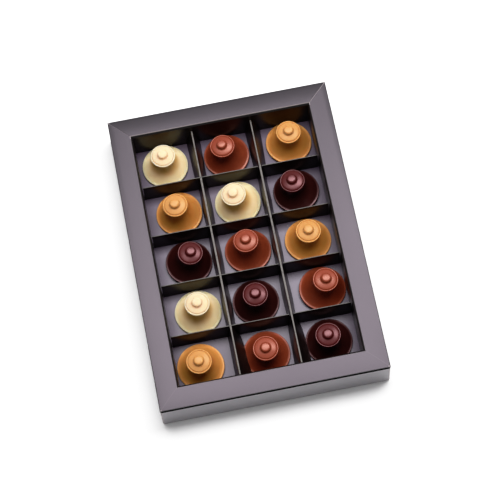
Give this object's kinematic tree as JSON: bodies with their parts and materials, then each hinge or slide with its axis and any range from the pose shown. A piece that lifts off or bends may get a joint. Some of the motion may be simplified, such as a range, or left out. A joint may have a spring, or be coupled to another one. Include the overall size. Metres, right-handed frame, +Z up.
{
  "type": "box of chocolate pralines",
  "caption": "Open flat card box with a broad mitred frame, folded card dividers and a bell-shaped praline with a knobbed cap in each cell.",
  "frame": {"origin": "middle of the box's underside, on the surface that it stands on", "axes": "+X across the box, +Y along its length towards the back row, +Z up"},
  "size_m": [0.15, 0.208, 0.0285],
  "materials": {
    "box_card": "mauve-grey laminated card, satin, a little worn at the corners",
    "floor_card": "lilac-grey card, matt to satin",
    "divider_card": "near-black glossy card with pale worn folds",
    "white_chocolate": "ivory white chocolate, satin",
    "caramel_chocolate": "blond caramel chocolate, satin",
    "milk_chocolate": "red-brown milk chocolate, satin",
    "dark_chocolate": "dark chocolate, satin"
  },
  "bodies": {
    "root": {"tray": "box_card", "frame": "box_card", "floor_card": "floor_card", "long_divider_1": "divider_card", "long_divider_2": "divider_card", "cross_divider_1": "divider_card", "cross_divider_2": "divider_card", "cross_divider_3": "divider_card", "cross_divider_4": "divider_card", "praline_white_1": "white_chocolate", "praline_white_2": "white_chocolate", "praline_white_3": "white_chocolate", "praline_caramel_1": "caramel_chocolate", "praline_caramel_2": "caramel_chocolate", "praline_caramel_3": "caramel_chocolate", "praline_caramel_4": "caramel_chocolate", "praline_milk_1": "milk_chocolate", "praline_milk_2": "milk_chocolate", "praline_milk_3": "milk_chocolate", "praline_milk_4": "milk_chocolate", "praline_dark_1": "dark_chocolate", "praline_dark_2": "dark_chocolate", "praline_dark_3": "dark_chocolate", "praline_dark_4": "dark_chocolate"}
  },
  "joints": []
}
